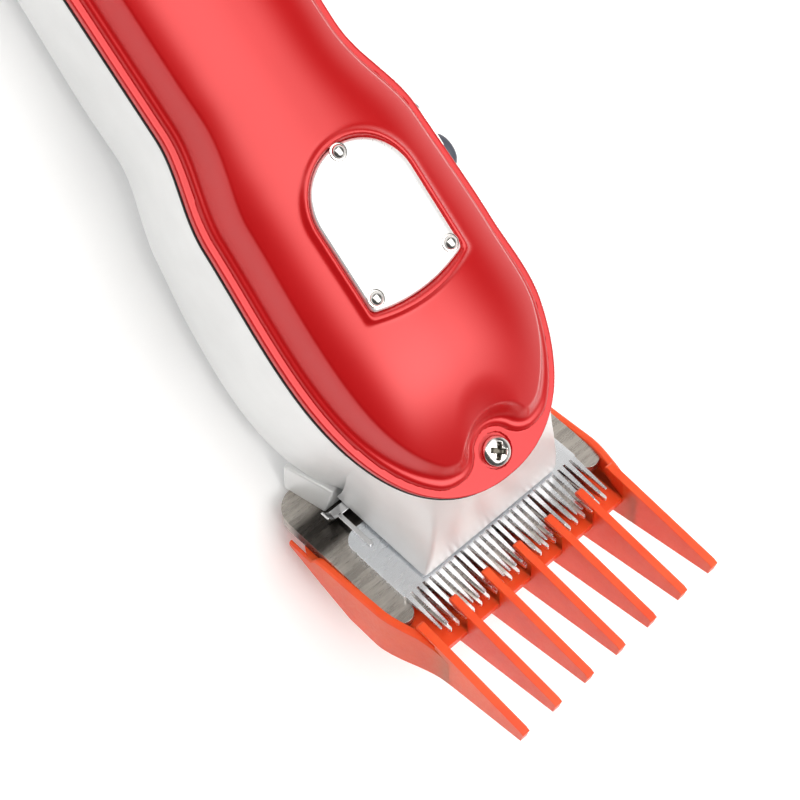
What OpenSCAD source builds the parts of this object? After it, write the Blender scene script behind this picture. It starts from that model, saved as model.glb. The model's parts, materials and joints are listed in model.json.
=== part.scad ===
// Mains hair clipper: aluminium housing, dome cover, vibrator motor, blade set and slide-on guide comb.
// The body frame has y running back from the front of the seam and z up from the seam plane.
// The blade frame is the body frame tilted by blade_tilt, with the tooth tips towards -y.

/* [Body] */
// Width of the body over its front half
body_w = 46.6; // [44:0.2:48]
// Width of the handle behind the waist
handle_w = 38; // [36:0.5:41]
// Length of the housing along the seam
body_len = 138; // [132:1:146]
// Length of the rounded front of the seam outline
front_len = 36.6; // [34:0.2:39]
// Start of the rounded tail
tail_start = 116; // [110:1:120]
// Depth of the belly below the front of the seam, down to the resting plane
belly_depth = 41; // [40.8:0.1:41.4]
// Angle between the seam plane and the resting plane
rest_tilt = 7.8; // [7:0.1:8.6]
// Wall thickness of the housing
wall = 2.2; // [1.8:0.1:2.6]
// Radius of the long lower edges of the housing
belly_r = 9; // [8:0.5:10]

/* [Cover] */
// Height of the cover's crown above the seam
cover_h = 12.2; // [11:0.2:13]
// Height of the rim at the edge of the cover
rim_h = 1.6; // [1.2:0.1:2]
// Wall thickness of the cover
cover_wall = 1.6; // [1.2:0.1:2]
// Distance of the front cover screw from the front of the seam
front_screw_y = 4.9; // [4.6:0.1:5.4]
// Distance of the rear cover screw from the front of the seam
rear_screw_y = 106.5; // [105.5:0.5:107.5]

/* [Badge plate] */
// Width of the badge plate
badge_w = 19; // [16:0.5:20]
// Front edge of the badge plate
badge_front = 37; // [36:0.5:38]
// Centre of the badge plate's rear arch
badge_arch_y = 53; // [51:0.5:54]
// Thickness of the badge plate
badge_t = 0.9; // [0.7:0.1:1.1]

/* [Blades] */
// Angle between the blades and the seam plane
blade_tilt = 42; // [41:0.5:43]
// Width of the fixed blade
fixed_w = 48.4; // [47.6:0.2:49]
// Thickness of the fixed blade
fixed_t = 2.6; // [2.4:0.1:2.8]
// Level of the fixed blade's top face in the blade frame
blade_top = -20.3; // [-20.5:0.1:-20.2]
// Number of teeth on the fixed blade
fixed_teeth = 22; // [20:1:25]
// Width of the cutter blade
cutter_w = 40.6; // [40:0.2:41]
// Thickness of the cutter blade
cutter_t = 1.2; // [1.1:0.1:1.2]
// Number of teeth on the cutter blade
cutter_teeth = 28; // [24:1:30]
// Half of the cutter's side-to-side stroke
half_stroke = 1.25; // [1:0.05:1.4]

/* [Guide comb] */
// Number of teeth on the guide comb
comb_teeth = 7; // [5:1:7]
// Distance between two comb teeth
comb_pitch = 7.45; // [7.3:0.05:7.45]
// Outer width of the guide comb
comb_w = 51.2; // [51:0.1:52]
// Distance of the comb tips ahead of the blade frame's origin
comb_reach = 27.2; // [25:0.1:28]

/* [Controls] */
// Centre of the power switch along the body
switch_y = 50; // [48:0.5:52]
// Travel of the power switch
switch_travel = 4; // [3:0.5:4]
// Throw of the taper lever's eccentric pin
cam_throw = 1.2; // [1:0.1:1.3]

/* [Motor] */
// Distance of the armature's pivot from the front of the seam
pivot_y = 78; // [76:0.5:80]
// Thickness of the lamination stacks
stack_t = 14; // [12:0.5:15]
// Number of turns in each armature spring
spring_turns = 6; // [4:1:7]

/* [Hidden] */
$fn = 48;
eps = 0.01;
// running clearance of a shaft in its hole
run = 0.05;
// width of the seam between the cover and the housing
seam_gap = 0.15;
front_p = 2.27;
tail_p = 2.6;
place_y = -55.79;
place_z = belly_depth * cos(rest_tilt);
handle_half = handle_w / 2;
// blade frame levels
cutter_top = blade_top + cutter_t;
nose_level = -18.3;
nose_front = 3.55;
pocket_rear = 25.7;
nose_half = 15.5;
heel_y = 33.4;
fixed_tip = -5.9;
cutter_tip = -4.8;
tooth_root = 3.4;
fixed_row = 38.5;
cutter_rear = 19.2;
finger_y = 12;
finger_r = 1.8;
blade_screw_x = 10;
blade_screw_y = 29.3;
// lever shaft in the blade frame
shaft_y = 20.6;
shaft_z = -14;
shaft_r = 2.2;
cam_r = 1.5;
cam_x0 = 3;
cam_x1 = 9.4;
lever_pad_x = 29;
lever_seat = 24.1;
// comb levels in the blade frame
comb_floor_top = blade_top - fixed_t - 0.15;
comb_floor_t = 1.3;
comb_wall_t = 1.2;
comb_rib_t = 1.5;
// motor levels in the body frame
stack_z0 = -22;
arm_x0 = 4.4;
arm_t = 3;
arm_z0 = -20;
arm_h = 11;
core_x0 = -17;
core_x1 = -3;
core_y0 = 28;
core_y1 = 64;
core_screw_x = -15.3;
spring_y = 22;
spring_z = -14;
gland_z = -10.5;
loop_z = -2.3;
terminal_x = 7;
cover_screw_r = 2.6;

// ---- frames ----
module body_frame() {
    translate([0, place_y, place_z]) rotate([-rest_tilt, 0, 0]) children();
}

module blade_frame() {
    body_frame() rotate([-blade_tilt, 0, 0]) children();
}

// ---- outline functions ----
function ramp(a, b, v) = let (t = max(0, min(1, (v - a) / (b - a)))) t * t * (3 - 2 * t);

function mid_half(y) =
    body_w / 2 - 0.9 * ramp(front_len, 62, y)
    - (body_w / 2 - 0.9 - handle_half) * ramp(58, 76, y);

function front_k(y) = pow(1 - pow(max(0, 1 - y / front_len), front_p), 1 / front_p);

function tail_k(y) =
    pow(1 - pow(min(1, max(0, (y - tail_start) / (body_len - tail_start))), tail_p), 1 / tail_p);

function half_w(y) = mid_half(y) * front_k(y) * tail_k(y);

// depth of the housing's underside; it meets the resting plane under the belly and the handle
function depth(y) =
    (belly_depth - y * tan(rest_tilt)
    - 2.6 * ramp(46, 64, y) * (1 - ramp(68, 88, y)))
    * (1 - 0.16 * (1 - pow(tail_k(y), 1.5)));

function crown(y) =
    (cover_h * (1 - pow(max(0, 1 - y / 38), 1.8)) - 1.6 * ramp(62, 82, y))
    * pow(1 - pow(min(1, max(0, (y - 108) / (body_len - 107))), 2.4), 1 / 2.4);

// stations that are close together at both rounded ends
front_stations = [for (t = [1 : 11]) front_len * pow(t / 12, 2.2)];
tail_stations = [for (t = [8 : -1 : 0]) body_len - (body_len - tail_start) * pow(t / 8, 2) - 0.05];
stations = concat(front_stations, [for (y = [front_len : 8 : tail_start - 4]) y], tail_stations);

// U-shaped section of the housing at y, from the left top edge round to the right one
function belly_section(y, inset, drop, top = 0) =
    let (
        w = max(1, half_w(y) - inset),
        d = depth(y) - drop,
        lean = 0.05 * (d - belly_r),
        r = min(belly_r, w * 0.8)
    )
    concat(
        [[-w, y, top]],
        [for (a = [0 : 15 : 90]) [-(w - lean - r) - r * cos(a), y, -(d - r) - r * sin(a)]],
        [for (a = [90 : -15 : 0]) [w - lean - r + r * cos(a), y, -(d - r) - r * sin(a)]],
        [[w, y, top]]
    );

// dome section of the cover at y
dome_steps = 11;
function dome_section(y, inset, drop) =
    let (w = max(0.8, half_w(y) - inset), h = max(rim_h + 0.1, crown(y)) - drop)
    concat(
        [[w, y, 0], [w, y, rim_h - drop * 0.5]],
        [for (i = [1 - dome_steps : dome_steps - 1])
            let (s = -sin(90 * i / dome_steps))
            [w * s, y, rim_h - drop * 0.5
                + (h - rim_h + drop * 0.5) * pow(1 - pow(abs(s), 2.5), 0.6)]],
        [[-w, y, rim_h - drop * 0.5], [-w, y, 0]]
    );

// closed skin through a list of rings with the same number of points
module loft(rings) {
    n = len(rings[0]);
    m = len(rings);
    points = [for (ring = rings) each ring];
    sides = [for (j = [0 : m - 2], i = [0 : n - 1])
        let (a = j * n + i, b = j * n + (i + 1) % n)
        each [[a, b, b + n], [a, b + n, a + n]]];
    caps = [[for (i = [n - 1 : -1 : 0]) i], [for (i = [0 : n - 1]) (m - 1) * n + i]];
    polyhedron(points = points, faces = concat(sides, caps), convexity = 6);
}

// front part of the seam in plan, drawn in by inset
function seam_outline(inset) =
    let (ys = concat(inset > 0 ? [] : [0.04], [for (y = stations) if (y > inset && y < 19) y]))
    concat(
        [for (y = ys) [half_w(y) - inset, y]],
        [for (i = [len(ys) - 1 : -1 : 0]) [inset - half_w(ys[i]), ys[i]]]
    );

// tombstone outline of the badge plate, grown by e
module badge_outline(e) {
    w = badge_w / 2 + e;
    bow = 1.6;
    front_r = (w * w + bow * bow) / (2 * bow);
    translate([0, badge_arch_y]) circle(r = w, $fn = 64);
    intersection() {
        translate([-w, badge_front - e - bow]) square([2 * w, badge_arch_y - badge_front + e + bow]);
        translate([0, badge_front - e - bow + front_r]) circle(r = front_r, $fn = 96);
    }
}

// ---- fasteners ----
// pan-head screw along -z with a cross recess; the head's underside is at z = 0
module cross_screw(head_r, head_h, shank_r, shank_len) {
    difference() {
        union() {
            rotate_extrude() polygon(concat([[0, 0], [head_r, 0]],
                [for (a = [0 : 15 : 90]) [head_r * cos(a * 0.999), head_h * (0.35 + 0.65 * sin(a))]]));
            translate([0, 0, -shank_len]) cylinder(r = shank_r, h = shank_len + eps);
        }
        for (a = [0, 90])
            rotate([0, 0, a + 20]) translate([-head_r * 0.62, -head_r * 0.14, head_h * 0.45])
                cube([head_r * 1.24, head_r * 0.28, head_h]);
    }
}

// slotted screw along -z; the head's underside is at z = 0
module slot_screw(head_r, head_h, shank_r, shank_len) {
    difference() {
        union() {
            cylinder(r = head_r, h = head_h);
            translate([0, 0, -shank_len]) cylinder(r = shank_r, h = shank_len + eps);
        }
        translate([-head_r - 1, -0.35, head_h * 0.45]) cube([2 * head_r + 2, 0.7, head_h]);
    }
}

module dome_rivet(head_r, head_h, shank_r, shank_len) {
    rotate_extrude() polygon(concat([[0, -shank_len], [shank_r, -shank_len], [shank_r, 0], [head_r, 0]],
        [for (a = [15 : 15 : 90]) [head_r * cos(a * 0.999), head_h * sin(a)]]));
}

// ---- housing ----
module nose_solid(inset, lift, top) {
    hull() {
        translate([0, 0, top]) mirror([0, 0, 1])
            linear_extrude(1, scale = 0.8) polygon(seam_outline(inset));
        rotate([-blade_tilt, 0, 0])
            for (s = [-1, 1], y = [nose_front + inset + 1, pocket_rear - 1])
                translate([s * (nose_half - inset - 1), y, nose_level + lift - 1]) cylinder(r = 1, h = 2);
    }
}

module housing_cavity() {
    difference() {
        union() {
            loft([for (y = stations) if (y > 7 && y < body_len - 5) belly_section(y, wall, wall, 1)]);
            nose_solid(wall, 3, 0.6);
        }
        // block that carries the blades
        rotate([-blade_tilt, 0, 0])
            translate([-nose_half, 24.8, -25]) cube([2 * nose_half, 18, 16]);
    }
}

// posts and blocks inside the housing, cut to its outer shape
module housing_bosses() {
    translate([0, front_screw_y, -6]) cylinder(r = 3.2, h = 6);
    intersection() {
        loft([for (y = stations) if (y > 14 && y < body_len - 10) belly_section(y, 0.6, 0.6)]);
        union() {
            translate([0, rear_screw_y, -30]) cylinder(r = 3.4, h = 30);
            translate([-24, spring_y, spring_z]) rotate([0, 90, 0]) cylinder(r = 3.4, h = 7.4);
            for (y = [core_y0 + 3, core_y1 - 3])
                translate([core_screw_x, y, -40]) cylinder(r = 3, h = 40 + stack_z0 - 0.02);
            translate([-5, pivot_y + 6, -38]) cube([10, 7.6, 17.98]);
            translate([-11, 112, -30]) cube([22, 7, 14.98]);
            translate([-10, 92, -34]) cube([20, 10, 15.98]);
        }
    }
}

module lower_housing() {
    color([0.80, 0.80, 0.80]) body_frame() difference() {
        union() {
            difference() {
                union() {
                    loft([for (y = stations) if (y > 1.5) belly_section(y, 0, 0)]);
                    nose_solid(0, 0, 0);
                }
                housing_cavity();
            }
            housing_bosses();
            // seat behind the nose
            rotate([-blade_tilt, 0, 0])
                translate([-17, pocket_rear - 0.6, blade_top - 1]) cube([34, heel_y - pocket_rear + 1.6, 10]);
        }
        rotate([-blade_tilt, 0, 0]) {
            // everything under the blade seat and under the nose
            translate([-40, -30, blade_top - 40]) cube([80, 75, 40]);
            translate([-40, -30, nose_level - 40]) cube([80, 30 + pocket_rear, 40]);
            // pocket that lets the follower and the drive finger through
            translate([-11.5, 7, nose_level - 1]) cube([23, 17.6, 5]);
            // bore for the lever shaft
            translate([6, shaft_y, shaft_z]) rotate([0, 90, 0]) cylinder(r = shaft_r + run, h = 20);
            for (s = [-1, 1])
                translate([s * blade_screw_x, blade_screw_y, blade_top - 1])
                    cylinder(r = 1.6 + run, h = 8);
        }
        translate([0, front_screw_y, -7]) cylinder(r = 1.25 + run, h = 10);
        translate([0, rear_screw_y, -12]) cylinder(r = 1.25 + run, h = 16);
        // power screw hole
        translate([14, spring_y, spring_z]) rotate([0, 90, 0]) cylinder(r = 2.5 + run, h = 12);
        translate([20.2, spring_y, spring_z]) rotate([0, 90, 0]) cylinder(r = 4 + run, h = 8);
        // switch slot
        translate([14, switch_y - 1.8 - switch_travel / 2, -9.1])
            cube([12, 3.6 + switch_travel, 3.2]);
        // cord inlet
        translate([0, body_len - 12, gland_z]) rotate([-90, 0, 0]) cylinder(r = 5.2, h = 20);
        for (s = [-1, 1]) {
            translate([s * 8, 115.5, -26]) cylinder(r = 1.25 + run, h = 20);
            translate([s * 5, body_len - 5, loop_z]) rotate([-90, 0, 0]) cylinder(r = 1.1, h = 14);
        }
        for (y = [core_y0 + 3, core_y1 - 3])
            translate([core_screw_x, y, -31]) cylinder(r = 1.25 + run, h = 20);
    }
}

// ---- cover ----
module cover_front_step() {
    // low ledge ahead of the ogee step, with a round pocket for the screw
    difference() {
        translate([-30, -5, 2.3]) cube([60, 22, 20]);
        for (s = [-1, 1]) {
            translate([s * 15.5, 14.2, 0]) cylinder(r = 8.4, h = 30, $fn = 64);
            translate([s * 22, 8.5, 0]) cylinder(r = 8.5, h = 30, $fn = 64);
        }
        translate([-30, 12.2, 0]) cube([60, 20, 30]);
    }
}

module top_cover() {
    color([0.85, 0.10, 0.10]) body_frame() translate([0, 0, seam_gap]) difference() {
        union() {
            difference() {
                loft([for (y = stations) dome_section(y, 0, 0)]);
                cover_front_step();
            }
            // raised lip round the badge plate
            translate([0, 0, 8]) linear_extrude(cover_h - 8 + 0.5) badge_outline(1.3);
        }
        difference() {
            translate([0, 0, -seam_gap]) loft([for (y = stations)
                if (y > 9 && y < body_len - 3) dome_section(y, cover_wall, cover_wall)]);
            translate([0, 0, cover_h - 2.9]) cylinder(r = 60, h = 5);
            translate([0, front_screw_y, -1]) cylinder(r = 5, h = 20);
        }
        translate([0, 0, cover_h - badge_t - 0.2]) linear_extrude(5) badge_outline(0.12);
        for (p = [[-7.75, 38.6], [7.75, 38.6], [0, 60]])
            translate([p[0], p[1], 2]) cylinder(r = 0.8 + run, h = 12);
        translate([0, front_screw_y, -1]) cylinder(r = 1.25 + run, h = 12);
        translate([0, front_screw_y, 1.8]) cylinder(r = cover_screw_r + 0.5, h = 12);
        translate([0, rear_screw_y, -1]) cylinder(r = 1.25 + run, h = 20);
        translate([0, rear_screw_y, 5]) cylinder(r = 3.2, h = 12);
    }
}

module badge_plate() {
    color([0.92, 0.92, 0.94]) body_frame() difference() {
        translate([0, 0, seam_gap + cover_h - badge_t - 0.2]) linear_extrude(badge_t) badge_outline(0);
        for (p = [[-7.75, 38.6], [7.75, 38.6], [0, 60]])
            translate([p[0], p[1], 0]) cylinder(r = 0.8 + run, h = 20);
    }
}

module badge_rivets() {
    color([0.95, 0.95, 0.95]) body_frame()
        for (p = [[-7.75, 38.6], [7.75, 38.6], [0, 60]])
            translate([p[0], p[1], seam_gap + cover_h - 0.2]) dome_rivet(1.35, 0.7, 0.8, 3.4);
}

module cover_front_screw() {
    color([0.93, 0.93, 0.93]) body_frame() translate([0, front_screw_y, seam_gap + 1.8])
        cross_screw(cover_screw_r, 1.5, 1.25, 7.4);
}

module cover_rear_screw() {
    color([0.93, 0.93, 0.93]) body_frame() translate([0, rear_screw_y, seam_gap + 5])
        cross_screw(2.4, 1.6, 1.25, 15);
}

// ---- tail ----
module cord_gland() {
    color([0.12, 0.12, 0.13]) body_frame() translate([0, body_len, gland_z]) rotate([-90, 0, 0])
        rotate_extrude() polygon([
            [3.2, -10], [5.1, -10], [5.1, 0], [6.6, 0], [6.6, 1.6], [6, 2.4], [5.2, 4], [3.2, 4]
        ]);
}

module cord_clamp() {
    color([0.75, 0.75, 0.72]) body_frame() difference() {
        translate([-11, 112, -15]) cube([22, 7, 4]);
        translate([0, 111, -15.6]) rotate([-90, 0, 0]) cylinder(r = 3.1, h = 9);
        for (s = [-1, 1]) translate([s * 8, 115.5, -16]) cylinder(r = 1.25 + run, h = 8);
    }
}

module clamp_screws() {
    color([0.9, 0.9, 0.9]) body_frame()
        for (s = [-1, 1]) translate([s * 8, 115.5, -11]) cross_screw(2.3, 1.4, 1.25, 10);
}

module hanging_loop() {
    color([0.85, 0.85, 0.86]) body_frame() translate([0, body_len - 4.6, loop_z]) {
        for (s = [-1, 1]) translate([s * 5, 0, 0]) rotate([-90, 0, 0]) cylinder(r = 1.05, h = 9.6);
        translate([0, 9.6, 0]) rotate_extrude(angle = 180) translate([5, 0]) circle(r = 1.05, $fn = 24);
    }
}

// ---- controls ----
module switch_slider() {
    color([0.20, 0.22, 0.27]) body_frame() translate([0, switch_y - switch_travel / 2, -7.5]) {
        translate([19, -1.7, -1.5]) cube([5, 3.4, 3]);
        difference() {
            translate([23.75, -3.2, -2.6]) cube([1.75, 6.4, 5.2]);
            for (y = [-2, 0, 2]) translate([25.5, y, 0]) cylinder(r = 0.4, h = 8, center = true);
        }
    }
}

module switch_bezel() {
    color([0.86, 0.86, 0.87]) body_frame() translate([0, switch_y, -7.5]) difference() {
        hull() for (s = [-1, 1])
            translate([21.6, s * 4.6, 0]) rotate([0, 90, 0]) cylinder(r = 4.3, h = 2.05, $fn = 32);
        translate([20, -1.8 - switch_travel / 2, -1.6]) cube([6, 3.6 + switch_travel, 3.2]);
        body_window();
    }
}

// the housing's outer wall where the switch bezel sits
module body_window() {
    translate([0, -switch_y, 7.5])
        loft([for (y = stations) if (abs(y - switch_y) < 16) belly_section(y, 0, 0)]);
}

module switch_body() {
    color([0.15, 0.15, 0.15]) body_frame() difference() {
        translate([12.5, switch_y - 9, -13]) cube([6.8, 18, 10]);
        translate([18.8, switch_y - 1.8 - switch_travel / 2, -9.1])
            cube([4, 3.6 + switch_travel, 3.2]);
    }
}

module power_screw() {
    color([0.9, 0.9, 0.88]) body_frame() translate([20.4, spring_y, spring_z]) rotate([0, 90, 0])
        slot_screw(3.9, 1.3, 2.5, 6.2);
}

module spring_cup() {
    color([0.85, 0.8, 0.6]) body_frame() translate([12.6, spring_y, spring_z]) rotate([0, 90, 0])
        difference() {
            cylinder(r = 3.2, h = 1.5);
            translate([0, 0, -0.01]) cylinder(r = 2.4, h = 0.6);
        }
}

// helical wire along +x from x = 0 to x = length
module coil_spring(length, r, wire) {
    per_turn = 14;
    steps = spring_turns * per_turn;
    loft([for (k = [0 : steps])
        let (a = 360 * k / per_turn, x = wire + (length - 2 * wire) * k / steps)
        [for (i = [0 : 5])
            let (q = -60 * i, s = r + wire * cos(q)) [x + wire * sin(q), s * cos(a), s * sin(a)]]]);
}

module armature_spring_left() {
    color([0.7, 0.7, 0.72]) body_frame() translate([-16.4, spring_y, spring_z])
        coil_spring(arm_x0 + 16.2, 2.1, 0.4);
}

module armature_spring_right() {
    color([0.7, 0.7, 0.72]) body_frame() translate([arm_x0 + arm_t + 0.1, spring_y, spring_z])
        coil_spring(12.5 + 0.55 - arm_x0 - arm_t - 0.1, 1.8, 0.35);
}

// ---- motor ----
module armature_arm() {
    color([0.62, 0.62, 0.64]) body_frame() translate([0, 0, arm_z0]) linear_extrude(arm_h) polygon([
        [-1.5, pivot_y - 0.3], [1.5, pivot_y - 0.3], [arm_x0 + arm_t, pivot_y - 8], [arm_x0 + arm_t, 18],
        [2.2, 9], [2.2, 6.4], [-2.2, 6.4], [-2.2, 9], [arm_x0, 20], [arm_x0, pivot_y - 9.4],
        [-1.5, pivot_y - 3]
    ]);
}

module armature_pole() {
    color([0.45, 0.45, 0.48]) body_frame()
        translate([core_x1 + 1.6, core_y0, stack_z0]) cube([arm_x0 - core_x1 - 1.6, 36, stack_t]);
}

module drive_finger() {
    color([0.92, 0.92, 0.88]) {
        blade_frame() translate([0, finger_y, blade_top + 0.2])
            cylinder(r = finger_r, h = 12.3);
        body_frame() translate([-2.2, -1.2, -16.6]) cube([4.4, 7.6, 5]);
    }
}

module stator_core() {
    leg = [[core_y0, 6], [core_y0 + 14, 8], [core_y1 - 6, 6]];
    color([0.42, 0.42, 0.45]) body_frame() difference() {
        union() {
            translate([core_x0, core_y0, stack_z0]) cube([4, core_y1 - core_y0, stack_t]);
            for (l = leg)
                translate([core_x0, l[0], stack_z0]) cube([core_x1 - core_x0, l[1], stack_t]);
        }
        for (y = [core_y0 + 3, core_y1 - 3])
            translate([core_screw_x, y, stack_z0 - 1]) cylinder(r = 1.25 + run, h = stack_t + 2);
    }
}

module coil_bobbin() {
    color([0.93, 0.92, 0.86]) body_frame() difference() {
        union() {
            for (x = [-12.9, -5]) translate([x, 34.4, -28]) cube([1, 23.2, 26]);
            translate([-12.9, 41.1, stack_z0 - 1]) cube([8.9, 9.8, stack_t + 2]);
        }
        translate([-14, 41.9, stack_z0 - 0.1]) cube([12, 8.2, stack_t + 0.2]);
    }
}

module coil_winding() {
    color([0.72, 0.36, 0.15]) body_frame() difference() {
        translate([-11.85, 35.2, -27]) cube([6.8, 21.6, 24]);
        translate([-12, 41.05, stack_z0 - 1.05]) cube([8, 9.9, stack_t + 2.1]);
    }
}

module stator_screws() {
    color([0.85, 0.85, 0.86]) body_frame() for (y = [core_y0 + 3, core_y1 - 3])
        translate([core_screw_x, y, stack_z0 + stack_t]) slot_screw(2.6, 1.6, 1.25, stack_t + 6);
}

module flexure_plate() {
    color([0.7, 0.7, 0.74]) body_frame()
        translate([-0.4, pivot_y - 0.25, -19]) cube([0.8, 13, 9]);
}

module flexure_clamp() {
    color([0.6, 0.6, 0.6]) body_frame() difference() {
        translate([-4, pivot_y + 7, -20]) cube([8, 6, 11]);
        translate([-0.45, pivot_y - 1, -19.05]) cube([0.9, 17, 11]);
    }
}

// ---- blades ----
// comb-like row of tapered teeth: n teeth over width w, from the root line to the tip line
module tooth_row(n, w, root, tip, root_share, tip_share) {
    pitch = w / n;
    for (i = [0 : n - 1]) {
        x = (i - (n - 1) / 2) * pitch;
        r = pitch * root_share / 2;
        t = pitch * tip_share / 2;
        polygon([[x - r, root + 0.5], [x - r, root], [x - t, tip + t], [x - t * 0.5, tip],
            [x + t * 0.5, tip], [x + t, tip + t], [x + r, root], [x + r, root + 0.5]]);
    }
}

module fixed_outline() {
    corner = 5;
    lug = 2.1;
    half = fixed_w / 2;
    difference() {
        union() {
            hull() for (s = [-1, 1])
                translate([s * (half - corner), heel_y - corner]) circle(r = corner);
            translate([-half, tooth_root]) square([fixed_w, heel_y - corner - tooth_root]);
            for (s = [-1, 1]) {
                translate([s * (half - lug), 2.2]) circle(r = lug);
                translate([s * (half - lug) - lug, 2.2]) square([2 * lug, 3]);
            }
            tooth_row(fixed_teeth, fixed_row, tooth_root, fixed_tip, 0.72, 0.34);
        }
        for (s = [-1, 1]) translate([s * blade_screw_x, blade_screw_y]) circle(r = 1.6 + run);
    }
}

module fixed_blade() {
    color([0.72, 0.70, 0.68]) blade_frame() difference() {
        translate([0, 0, blade_top - fixed_t]) linear_extrude(fixed_t) fixed_outline();
        // the underside thins towards the tooth tips
        translate([-30, 6, blade_top - fixed_t]) rotate([-8.5, 0, 0])
            translate([0, -20, -4]) cube([60, 20, 4]);
        for (s = [-1, 1])
            translate([s * blade_screw_x, blade_screw_y, blade_top - fixed_t - eps])
                cylinder(r = 3.1, h = 1 + eps);
    }
}

module cutter_blade() {
    half = cutter_w / 2;
    color([0.66, 0.70, 0.75]) blade_frame() difference() {
        translate([0, 0, blade_top + 0.03]) linear_extrude(cutter_t - 0.03) difference() {
            union() {
                translate([-half, tooth_root]) square([cutter_w, cutter_rear - tooth_root - 4]);
                hull() for (s = [-1, 1])
                    translate([s * (half - 3), cutter_rear - 3]) circle(r = 3, $fn = 32);
                tooth_row(cutter_teeth, cutter_w, tooth_root, cutter_tip, 0.66, 0.3);
            }
            hull() for (s = [-1, 1])
                translate([0, finger_y + s * 1.6]) circle(r = finger_r + 0.04);
        }
        // thinned teeth
        translate([-30, tooth_root, cutter_top]) rotate([6, 0, 0])
            translate([0, -20, 0]) cube([60, 20, 4]);
    }
}

module cam_follower() {
    color([0.93, 0.93, 0.90]) blade_frame() difference() {
        union() {
            translate([-14, cutter_rear + 0.1, blade_top + 0.05]) cube([28, 4.6, cutter_t - 0.1]);
            translate([1.6, cutter_rear - 1.1, cutter_top + 0.75]) cube([7.4, 5.6, 6.3]);
            translate([1.6, cutter_rear + 0.1, cutter_top - 0.2]) cube([7.4, 4.4, 1]);
        }
        // slot for the eccentric pin
        hull() for (dz = [-1.3, 1.3])
            translate([1, shaft_y, shaft_z + cam_throw + dz]) rotate([0, 90, 0])
                cylinder(r = cam_r + run, h = 12);
    }
}

module tension_spring() {
    color([0.88, 0.86, 0.82]) blade_frame() translate([0, 0, cutter_top + 0.03]) {
        translate([-17.4, cutter_rear + 4.55, 0]) cube([34.8, 1.1, 0.4]);
        for (s = [-1, 1]) {
            translate([s * 17.4 - 1, 14.5, 0]) cube([2, cutter_rear - 9.4, 0.4]);
            translate([s * 19.2 - 1.4, cutter_rear + 0.8, 0]) cube([2.8, 2.2, 0.4]);
        }
    }
}

module lever_shaft() {
    color([0.75, 0.75, 0.76]) blade_frame() translate([0, shaft_y, shaft_z]) rotate([0, 90, 0]) {
        translate([0, 0, cam_x1]) cylinder(r = shaft_r, h = 12.5);
        translate([-cam_throw, 0, cam_x0]) cylinder(r = cam_r, h = cam_x1 - cam_x0 + eps);
    }
}

// lever side view: x runs back along the arm
module lever_outline() {
    hull() {
        circle(r = 5);
        translate([16, 1.5]) circle(r = 3.6);
    }
    hull() {
        translate([16, 1.5]) circle(r = 3.6);
        translate([lever_pad_x, 3]) circle(r = 4.2);
    }
}

module taper_lever() {
    color([0.82, 0.82, 0.83]) body_frame() shaft_place() {
        difference() {
            union() {
                translate([0, 0, 23.4]) linear_extrude(1.5) lever_outline();
                translate([0, 0, 17.9]) cylinder(r = 3.8, h = 6);
                translate([lever_pad_x, 3, 24]) cylinder(r = 3.4, h = 1.5);
            }
            translate([0, 0, 10]) cylinder(r = shaft_r + 0.01, h = 11.93);
            translate([0, 0, 10]) cylinder(r = 1.3, h = 20);
            translate([0, 0, lever_seat]) cylinder(r = 2.5, h = 5);
            for (d = [-2, 0, 2])
                translate([lever_pad_x + d, 3, 25.5]) rotate([90, 0, 0])
                    cylinder(r = 0.4, h = 12, center = true);
        }
    }
}

// puts x along the body's y, y along the body's z and z along the body's x, at the lever shaft
module shaft_place() {
    sy = shaft_y * cos(blade_tilt) + shaft_z * sin(blade_tilt);
    sz = -shaft_y * sin(blade_tilt) + shaft_z * cos(blade_tilt);
    translate([0, sy, sz]) rotate([90, 0, 90]) children();
}

module lever_screw() {
    color([0.92, 0.92, 0.92]) body_frame() shaft_place() translate([0, 0, lever_seat])
        cross_screw(2.4, 1.4, 1.25, 2.15);
}

module lever_washer() {
    color([0.7, 0.6, 0.35]) body_frame() shaft_place() difference() {
        translate([0, 0, 17.1]) cylinder(r = 4.4, h = 0.7);
        translate([0, 0, 16]) cylinder(r = shaft_r + run, h = 3);
    }
}

module blade_screws() {
    color([0.9, 0.9, 0.9]) blade_frame() for (s = [-1, 1])
        translate([s * blade_screw_x, blade_screw_y, blade_top - fixed_t + 1]) mirror([0, 0, 1])
            cross_screw(3, 1.4, 1.6, 7);
}

// ---- guide comb ----
// side view of an inner tooth and its rib, in (forward, up) blade frame coordinates
tooth_profile = [
    [comb_reach, -22.2], [comb_reach + 0.2, -21.6], [comb_reach - 0.6, -21.1], [2.8, -17.7],
    [2.3, -18.1], [2.6, -18.75], [6.8, -18.9], [6.8, comb_floor_top], [-20, comb_floor_top],
    [-20.4, -26], [-12, -30.8], [-6, -31.2], [1, -29.7], [comb_reach - 0.4, -24.2]
];
// side view of a side wall
wall_profile = [
    [3.6, -28.9], [0.9, -29.7], [-5, -31.2], [-12, -31], [-19.4, -27.6], [-27, comb_floor_top - comb_floor_t],
    [-27, comb_floor_top], [-19, -23.4], [-2, -20], [0.3, -19.3], [3.6, -19.3]
];

module side_profile(profile, x0, t) {
    translate([x0, 0, 0]) rotate([90, 0, 90])
        linear_extrude(t) polygon([for (p = profile) [-p[0], p[1]]]);
}

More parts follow.
